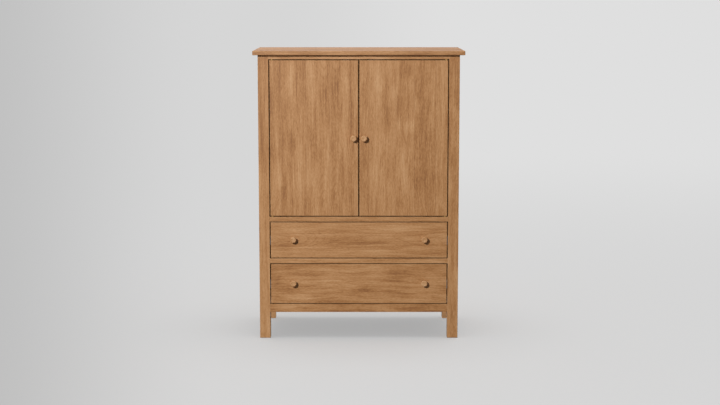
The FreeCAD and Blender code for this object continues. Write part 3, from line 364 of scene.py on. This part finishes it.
def wood(name, look, axes, middle, seed, board_width=None, sway=0.012, tone=0.0, calm=1.0, marks=(),
         reflection=0.5):
    """Wood whose figure runs through the whole solid, so that faces, edges and ends agree.

    axes gives the object axes that run across the boards, through them and along the grain. middle is
    the middle of the solid, and seed picks its piece of the log. board_width is that of glued boards;
    without it the wood is in one piece. sway is how far the grain wanders off straight, in metres, and
    tone makes the whole piece darker or paler. calm is the share that is kept of the broad streaks, marks
    are the piece's rows of MARKS, and reflection is how strongly the finish reflects.
    """
    material, graph = new_material(name)
    style = WOODS[look]
    place = graph.separate(graph.vector_math("SUBTRACT", graph.place(), middle))
    across, through, along = (place[axis] for axis in axes)
    log_shift = seed * SEED_ALONG
    if board_width:
        across, seam, chance = glued_boards(graph, across, seed, board_width)
        across = graph.plus(across, graph.swing(chance["y"], HEART_SHIFTS))
        tone = graph.plus(tone, graph.swing(chance["x"], BOARD_TONES * calm))
        log_shift = graph.plus(graph.times(chance["z"], LOG_LENGTH), log_shift)
    along = graph.plus(along, log_shift)
    bend = figure(graph, log_place(graph, across, through, along, seed), "bend")
    across = graph.plus(across, graph.swing(bend, sway / NOISE_SWING))
    grain = log_place(graph, across, through, along, seed)

    rings = growth_rings(graph, grain, across, through)
    noises = {layer: figure(graph, grain, layer) for layer in TONE_SHARES}
    pores = graph.remap(figure(graph, grain, "pores"), *PORE_LEVELS)

    shade = NOISE_MEAN
    for layer, share in TONE_SHARES.items():
        kept = calm if layer in BROAD_NOISES else 1.0
        shade = graph.plus(shade, graph.swing(noises[layer], share * kept * style["figure"]))
    ring_tone = graph.swing(rings, RING_SHARE * style["figure"], RING_MEAN)
    shade = graph.plus(shade, graph.times(ring_tone, graph.remap(noises["mottle"], *RING_PATCHES)))
    if marks:
        shade = graph.plus(shade, marked(graph, marks))
    shade = graph.plus(shade, tone, clamp=True)

    colour = graph.ramp(shade, style["colours"])
    colour = graph.mix(graph.times(pores, PORE_COVER * style["figure"]), colour, PORE_COLOUR)
    if board_width:
        colour = graph.mix(graph.times(seam, SEAM_COVER), colour, PORE_COLOUR)
    # Painted highlight: rounded edges are painted paler, as if catching the light.
    colour = graph.mix(graph.times(rounded_edge_mask(graph, PAINTED_HIGHLIGHT_RADIUS), PAINTED_HIGHLIGHT_COVER), colour, PAINTED_HIGHLIGHT_COLOUR)
    # Painted shade: gaps and the places under overhangs are painted darker.
    colour = graph.mix(graph.times(painted_shade_mask(graph, PAINTED_SHADE_REACH), PAINTED_SHADE_COVER), colour, PAINTED_SHADE_COLOUR)

    height = graph.minus(graph.times(noises["fibres"], FIBRE_RELIEF), graph.times(pores, PORE_RELIEF))
    height = graph.plus(height, graph.times(rings, RING_RELIEF))
    if board_width:
        height = graph.minus(height, seam)
    roughness = graph.plus(style["roughness"], graph.swing(noises["streaks"], STREAK_ROUGHNESS))
    roughness = graph.plus(roughness, graph.times(pores, PORE_ROUGHNESS), clamp=True)
    graph.surface(Base_Color=colour, Roughness=roughness, Specular_IOR_Level=reflection,
                  Normal=graph.bump(height, RELIEF_DEPTH, RELIEF_STRENGTH))
    return material


# --- metal and plastic ----------------------------------------------------------------------------

# Brush lines: waves per metre along and across the brushing, where a groove begins, and how much they
# dull the colour and change the roughness.
BRUSHED_ALONG, BRUSHED_ACROSS = 40.0, 2600.0
GROOVE_LEVEL = 0.3
BRUSHED_COVER = 0.25
BRUSHED_ROUGHNESS = 0.2
# Dull spots: waves per metre, the levels between which they darken and roughen, and by how much.
SPOT_WAVES = 90.0
SPOT_LEVELS = (0.4, 0.75)
SPOT_DULLING = (0.3, 0.7)
SPOT_ROUGHNESS = 0.14
# Moulded grain, and clouds of scuffs.
MOULD_WAVES = 1600.0
MOULD_ROUGHNESS = 0.25
CLOUD_WAVES = 60.0
CLOUD_LEVELS = (0.3, 0.8)
CLOUD_COVER = 0.25
# Worn edges: how far the wear reaches in, in metres, and its share of the colour.
METAL_EDGE = 0.0006
PLASTIC_EDGE = 0.0008
EDGE_COVER = 0.5
BRIGHT_EDGE = linear(236, 234, 228)


def metal(name, colour, dull, smoothest, brush_axis):
    """Drawn or plated metal with fine brush lines along an axis, dull spots and bright edges."""
    material, graph = new_material(name)
    position = graph.place()
    lines = tuple(BRUSHED_ALONG if axis == brush_axis else BRUSHED_ACROSS for axis in "xyz")
    brushed = graph.noise(position, lines, roughness=0.6)
    spots = graph.noise(position, SPOT_WAVES, octaves=3.0, roughness=0.6)
    tint = graph.mix(graph.remap(spots, *SPOT_LEVELS), colour, dull)
    grooves = graph.minus(brushed, GROOVE_LEVEL, clamp=True)
    tint = graph.mix(graph.times(grooves, BRUSHED_COVER), tint, dull)
    tint = graph.mix(graph.times(rounded_edge_mask(graph, METAL_EDGE), EDGE_COVER), tint, BRIGHT_EDGE)
    roughness = graph.remap(spots, *SPOT_DULLING, smoothest, smoothest + SPOT_ROUGHNESS)
    roughness = graph.plus(roughness, graph.swing(brushed, BRUSHED_ROUGHNESS), clamp=True)
    graph.surface(Base_Color=tint, Metallic=1.0, Roughness=roughness,
                  Normal=graph.bump(brushed, distance=0.00002, strength=0.5))
    return material


def plastic(name, colour, scuffed, mean_roughness):
    """Moulded plastic with a fine spark-eroded grain and lighter scuffs on its edges."""
    material, graph = new_material(name)
    position = graph.place()
    grain = graph.noise(position, MOULD_WAVES, roughness=0.7)
    cloud = graph.noise(position, CLOUD_WAVES)
    tint = graph.mix(graph.remap(cloud, *CLOUD_LEVELS, 0.0, CLOUD_COVER), colour, scuffed)
    tint = graph.mix(graph.times(rounded_edge_mask(graph, PLASTIC_EDGE), EDGE_COVER), tint, scuffed)
    roughness = graph.plus(mean_roughness, graph.swing(grain, MOULD_ROUGHNESS), clamp=True)
    graph.surface(Base_Color=tint, Roughness=roughness,
                  Normal=graph.bump(grain, distance=0.00006, strength=0.6))
    return material


# --- which finish each node takes -----------------------------------------------------------------

# The object axes that run across the boards, through them and along the grain.
UPRIGHT = "xyz"
SIDEWAYS = "zyx"
LEVEL = "yzx"
SIDE_UPRIGHT = "yxz"
SIDE_LEVEL = "zxy"
TURNED = "xzy"

KNOB = {"look": "oak", "axes": TURNED, "sway": 0.004, "tone": 0.2}

# A node's place in this table is its seed, which picks its piece of the log.
WOODEN = {
    "left_door_panel": {"look": "oak", "axes": UPRIGHT, "board_width": 0.115, "tone": -0.04, "calm": 0.85},
    "right_door_panel": {"look": "oak", "axes": UPRIGHT, "board_width": 0.115, "tone": -0.06, "calm": 0.65},
    "upper_drawer_face": {"look": "oak", "axes": SIDEWAYS, "tone": -0.03, "calm": 0.75},
    "lower_drawer_face": {"look": "oak", "axes": SIDEWAYS, "sway": 0.03, "tone": -0.05, "calm": 1.2},
    # front_top_rail's tone is painted light over the shadow that the top's overhang casts on it.
    "front_top_rail": {"look": "oak", "axes": SIDEWAYS, "sway": 0.008, "tone": 0.10},
    "front_middle_rail": {"look": "oak", "axes": SIDEWAYS},
    "front_drawer_rail": {"look": "oak", "axes": SIDEWAYS},
    "front_bottom_rail": {"look": "oak", "axes": SIDEWAYS, "sway": 0.008, "tone": -0.085},
    "rear_top_rail": {"look": "oak", "axes": SIDEWAYS},
    "rear_middle_rail": {"look": "oak", "axes": SIDEWAYS},
    "rear_bottom_rail": {"look": "oak", "axes": SIDEWAYS},
    "front_left_post": {"look": "oak", "axes": UPRIGHT},
    # front_right_post's tone is painted shade, for the lamps' fall from left to right.
    "front_right_post": {"look": "oak", "axes": UPRIGHT, "sway": 0.008, "tone": -0.05},
    # rear_posts' tone is painted light on the feet that stand in shade under the cabinet.
    "rear_posts": {"look": "oak", "axes": UPRIGHT, "tone": 0.06},
    "side_panels": {"look": "oak", "axes": SIDE_UPRIGHT, "board_width": 0.1},
    "side_top_rails": {"look": "oak", "axes": SIDE_LEVEL},
    "side_bottom_rails": {"look": "oak", "axes": SIDE_LEVEL},
    "top_panel": {"look": "oak", "axes": LEVEL, "board_width": 0.11, "tone": -0.155, "reflection": 0.6},
    "tv_deck": {"look": "oak", "axes": LEVEL, "board_width": 0.11},
    "adjustable_shelf": {"look": "oak", "axes": LEVEL, "board_width": 0.11},
    "left_door_knob": KNOB,
    "right_door_knob": KNOB,
    "upper_drawer_knobs": KNOB,
    "lower_drawer_knobs": KNOB,
    "side_bearers": {"look": "birch", "axes": SIDE_LEVEL},
    "upper_drawer_box_front": {"look": "birch", "axes": SIDEWAYS},
    "upper_drawer_box_back": {"look": "birch", "axes": SIDEWAYS},
    "upper_drawer_sides": {"look": "birch", "axes": SIDE_LEVEL},
    "upper_drawer_bottom": {"look": "plywood", "axes": LEVEL},
    "lower_drawer_box_front": {"look": "birch", "axes": SIDEWAYS},
    "lower_drawer_box_back": {"look": "birch", "axes": SIDEWAYS},
    "lower_drawer_sides": {"look": "birch", "axes": SIDE_LEVEL},
    "lower_drawer_bottom": {"look": "plywood", "axes": LEVEL},
    "upper_back_panel": {"look": "plywood", "axes": UPRIGHT},
    "lower_back_panel": {"look": "plywood", "axes": UPRIGHT},
}

steel = metal("zinc_steel", linear(196, 198, 200), linear(150, 152, 155), 0.28, "y")
brass = metal("brass_hardware", linear(206, 172, 104), linear(150, 118, 66), 0.26, "x")
magnet = metal("magnet_nickel", linear(120, 120, 122), linear(78, 78, 80), 0.35, "x")
dark_plastic = plastic("dark_plastic", linear(52, 47, 42), linear(92, 86, 80), 0.5)
nylon = plastic("nylon", linear(150, 138, 122), linear(186, 176, 162), 0.55)

HARDWARE = {
    "foot_glides": nylon,
    "shelf_pins": steel,
    "panel_screws": steel,
    "back_panel_screws": steel,
    "cable_grommet": dark_plastic,
    "hinge_frame_leaves": brass,
    "hinge_pins": brass,
    "hinge_frame_screws": brass,
    "catch_bodies": dark_plastic,
    "catch_magnets": magnet,
    "slide_cabinet_members": steel,
    "left_door_hinge_leaves": brass,
    "left_door_hinge_screws": brass,
    "left_door_strike_plate": steel,
    "left_door_knob_screw": steel,
    "right_door_hinge_leaves": brass,
    "right_door_hinge_screws": brass,
    "right_door_strike_plate": steel,
    "right_door_knob_screw": steel,
    "upper_drawer_knob_screws": steel,
    "lower_drawer_knob_screws": steel,
    "upper_slide_middle_members": steel,
    "lower_slide_middle_members": steel,
    "upper_slide_drawer_members": steel,
    "lower_slide_drawer_members": steel,
}


def finish_node(node, material):
    """Give a node one material in place of those that it was packed with."""
    mesh = NODES[node].data
    mesh.materials.clear()
    mesh.materials.append(material)


for seed, (node, finish) in enumerate(WOODEN.items()):
    low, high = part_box(node)
    middle = tuple((low + high) / 2)
    finish_node(node, wood("wood_" + node, middle=middle, seed=seed, marks=MARKS.get(node, ()), **finish))
for node, material in HARDWARE.items():
    finish_node(node, material)


# --- stage ----------------------------------------------------------------------------------------

# The camera: sensor and lens in millimetres, place in metres and downward tilt in degrees.
SENSOR_WIDTH = 36.0
LENS = 73.9
CAMERA_PLACE = (0.006, -7.5775, 1.713)
CAMERA_PITCH = 7.916

# Softboxes that light the furniture and not the floor: place, aim, width and watts.
SOFTBOXES = {
    "behind": ((3.2, 4.6, 2.4), (0.0, 0.25, 0.7), 2.0, 260.0),
    "key": ((-2.9, -6.5, 3.6), (0.0, -0.25, 0.75), 0.5, 470.0),
    "overhead": ((-0.4, 0.9, 3.6), (0.0, 0.5, 0.0), 1.8, 42.0),
}
# A weak softbox near the floor, for the rear posts alone, and how wide its light spreads, in degrees.
LOW_SOFTBOX = ((-0.62, -2.2, 0.25), (1.21, 0.19, 0.02), 0.2, 6.2)
LOW_SPREAD = 60.0
# Suns that light the floor alone: strength, and width in degrees.
FLOOR_SUNS = ((1.34, 48.0), (1.08, 170.0))
# The even light from all round.
WORLD_LIGHT = 0.08

# The floor: half its width in metres, its own grey, and how much and in how many waves per metre that
# varies.
FLOOR_REACH = 400.0
FLOOR_ALBEDO = 0.35
FLOOR_MOTTLE = 0.01
FLOOR_WAVES = 60.0
# The share of that grey with which it lights the furniture, and its brightness under its own lamps.
FLOOR_BOUNCE = 0.35
FLOOR_LIT = FLOOR_ALBEDO * (WORLD_LIGHT + sum(strength for strength, width in FLOOR_SUNS) / math.pi)

# The backdrop's greys near by and far off, and the share of them that is left on its dark side.
NEAR_GREY = linear(214, 214, 214)[0]
FAR_GREY = linear(223, 223, 223)[0]
DARK_SIDE = 0.74
# Where the backdrop changes: to the right as a share of the distance, and behind the origin in metres.
DARK_SIDE_ENDS = (-0.30, -0.09)
PALE_SIDE_STARTS = (-0.06, 0.07)
FAR_STARTS = (0.5, 9.0)
# How far in front of the origin the backdrop's distances are taken from.
VIEWPOINT = 7.58


def seen_or_mirrored(graph):
    """1 for rays from the camera, from glossy surfaces and through clear ones."""
    rays = graph.node("LightPath", {}).outputs
    direct = graph.math("MAXIMUM", rays["Is Camera Ray"], rays["Is Glossy Ray"])
    return graph.math("MAXIMUM", direct, rays["Is Transmission Ray"])


def backdrop_level(graph, x, y, viewpoint, farness):
    """The backdrop's level towards a place, dim on the left and palest far off on the right."""
    spread = graph.divided(x, graph.hypotenuse(x, graph.plus(y, viewpoint)))
    dim = graph.remap(spread, *DARK_SIDE_ENDS, DARK_SIDE, 1.0, smooth=True)
    pale = graph.times(graph.remap(spread, *PALE_SIDE_STARTS, smooth=True), farness)
    return graph.times(dim, graph.remap(pale, 0.0, 1.0, NEAR_GREY, FAR_GREY))


def floor_material():
    """Plain paper. Part of its light is its own, so that the shadow on it stays soft and pale."""
    material, graph = new_material("floor_paper")
    place = graph.separate(graph.place())
    farness = graph.remap(place["y"], *FAR_STARTS, smooth=True)
    own_light = graph.minus(backdrop_level(graph, place["x"], place["y"], VIEWPOINT, farness), FLOOR_LIT)
    seen = seen_or_mirrored(graph)
    glow = graph.add("Emission", {"Strength": graph.times(own_light, seen)})
    albedo = graph.remap(graph.noise(graph.place(), FLOOR_WAVES, 3.0), 0.0, 1.0,
                         FLOOR_ALBEDO - FLOOR_MOTTLE, FLOOR_ALBEDO + FLOOR_MOTTLE)
    grey = graph.times(albedo, graph.remap(seen, 0.0, 1.0, FLOOR_BOUNCE, 1.0))
    matt = graph.add("BsdfDiffuse", {"Color": graph.combine(grey, grey, grey)})
    graph.node("OutputMaterial", {"Surface": graph.add("AddShader", {0: glow, 1: matt})})
    return material


def make_floor():
    mesh = bpy.data.meshes.new("floor")
    corners = [(x * FLOOR_REACH, y * FLOOR_REACH, 0.0) for x, y in ((-1, -1), (1, -1), (1, 1), (-1, 1))]
    mesh.from_pydata(corners, [], [range(4)])
    mesh.materials.append(floor_material())
    floor = bpy.data.objects.new("floor", mesh)
    bpy.context.scene.collection.objects.link(floor)
    return floor


def make_world():
    """Even studio light, with the backdrop's colour beyond the floor's far edge."""
    world = bpy.data.worlds.new("studio")
    graph = Graph(world)
    view = graph.separate(graph.place("Generated"))
    backdrop = backdrop_level(graph, view["x"], view["y"], 0.0, 1.0)
    strength = graph.mix(seen_or_mirrored(graph), WORLD_LIGHT, backdrop, "FLOAT")
    light = graph.add("Background", {"Color": (1.0, 1.0, 1.0, 1.0), "Strength": strength})
    graph.node("OutputWorld", {"Surface": light})
    bpy.context.scene.world = world


def add_lamp(name, data):
    lamp = bpy.data.objects.new(name, data)
    bpy.context.scene.collection.objects.link(lamp)
    return lamp


def softbox(name, place, aim, width, power):
    """A square lamp that points at a place."""
    data = bpy.data.lights.new(name, "AREA")
    data.size = width
    data.energy = power
    lamp = add_lamp(name, data)
    lamp.location = place
    lamp.rotation_euler = (lamp.location - Vector(aim)).to_track_quat("Z", "Y").to_euler()
    return lamp


def link_light(lamp, thing, state):
    """Keep a lamp off one object (EXCLUDE), or let it light nothing else (INCLUDE)."""
    receivers = bpy.data.collections.new(lamp.name + "_receivers")
    receivers.objects.link(thing)
    lamp.light_linking.receiver_collection = receivers
    receivers.collection_objects[0].light_linking.link_state = state


def make_lamps(floor):
    """Softboxes for the furniture, and wide suns overhead that lay its soft shadow on the floor."""
    lamps = {name: softbox(name, *values) for name, values in SOFTBOXES.items()}
    lamps["behind"].visible_glossy = False
    for lamp in lamps.values():
        link_light(lamp, floor, "EXCLUDE")
    low = softbox("low", *LOW_SOFTBOX)
    low.data.spread = math.radians(LOW_SPREAD)
    link_light(low, NODES["rear_posts"], "INCLUDE")
    for strength, width in FLOOR_SUNS:
        data = bpy.data.lights.new("floor_lamp", "SUN")
        data.energy = strength
        data.angle = math.radians(width)
        link_light(add_lamp("floor_lamp", data), floor, "INCLUDE")


def make_camera():
    """An upright camera in front of the furniture, tipped down by CAMERA_PITCH degrees."""
    data = bpy.data.cameras.new("camera")
    data.sensor_width = SENSOR_WIDTH
    data.lens = LENS
    camera = bpy.data.objects.new("camera", data)
    camera.location = CAMERA_PLACE
    camera.rotation_euler = (math.radians(90 - CAMERA_PITCH), 0.0, 0.0)
    bpy.context.scene.collection.objects.link(camera)
    bpy.context.scene.camera = camera


make_lamps(make_floor())
make_world()
make_camera()
bpy.context.scene.view_settings.view_transform = "Standard"
